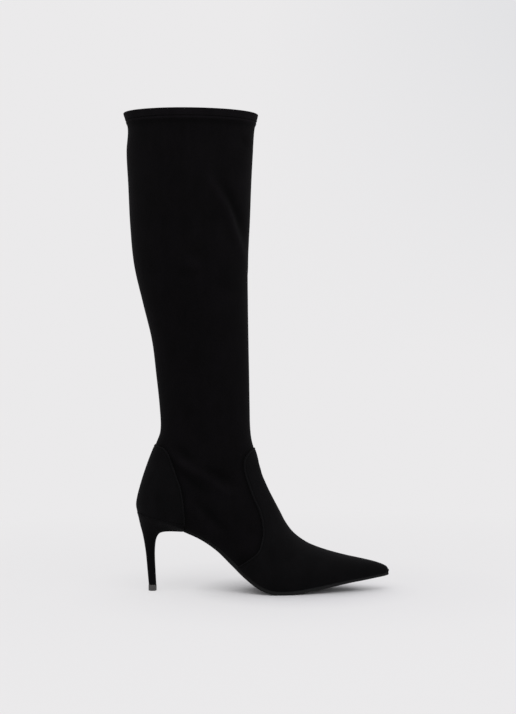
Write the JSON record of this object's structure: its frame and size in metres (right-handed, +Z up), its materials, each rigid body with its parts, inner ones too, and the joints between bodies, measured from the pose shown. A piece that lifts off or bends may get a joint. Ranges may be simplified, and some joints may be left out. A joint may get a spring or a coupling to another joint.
{
  "type": "knee-high boot",
  "caption": "Knee-high pull-on boot in black stretch suede with a pointed toe, a thin sole and a slim covered stiletto heel, right foot.",
  "frame": {"origin": "on the floor under the middle of the boot's box", "axes": "+X to the toe, +Y to the inner side of the right foot, +Z up the leg"},
  "size_m": [0.2784, 0.094, 0.4985],
  "materials": {
    "suede": "black suede with a short nap",
    "insole_board": "dark smooth sock over a board",
    "sole": "black, satin, with a polished edge",
    "top_piece": "dark, satin"
  },
  "bodies": {
    "root": {"upper": "suede", "vamp": "suede", "heel_counter": "suede", "insole": "insole_board", "outsole": "sole", "heel": "suede", "heel_tip": "top_piece"}
  },
  "joints": []
}
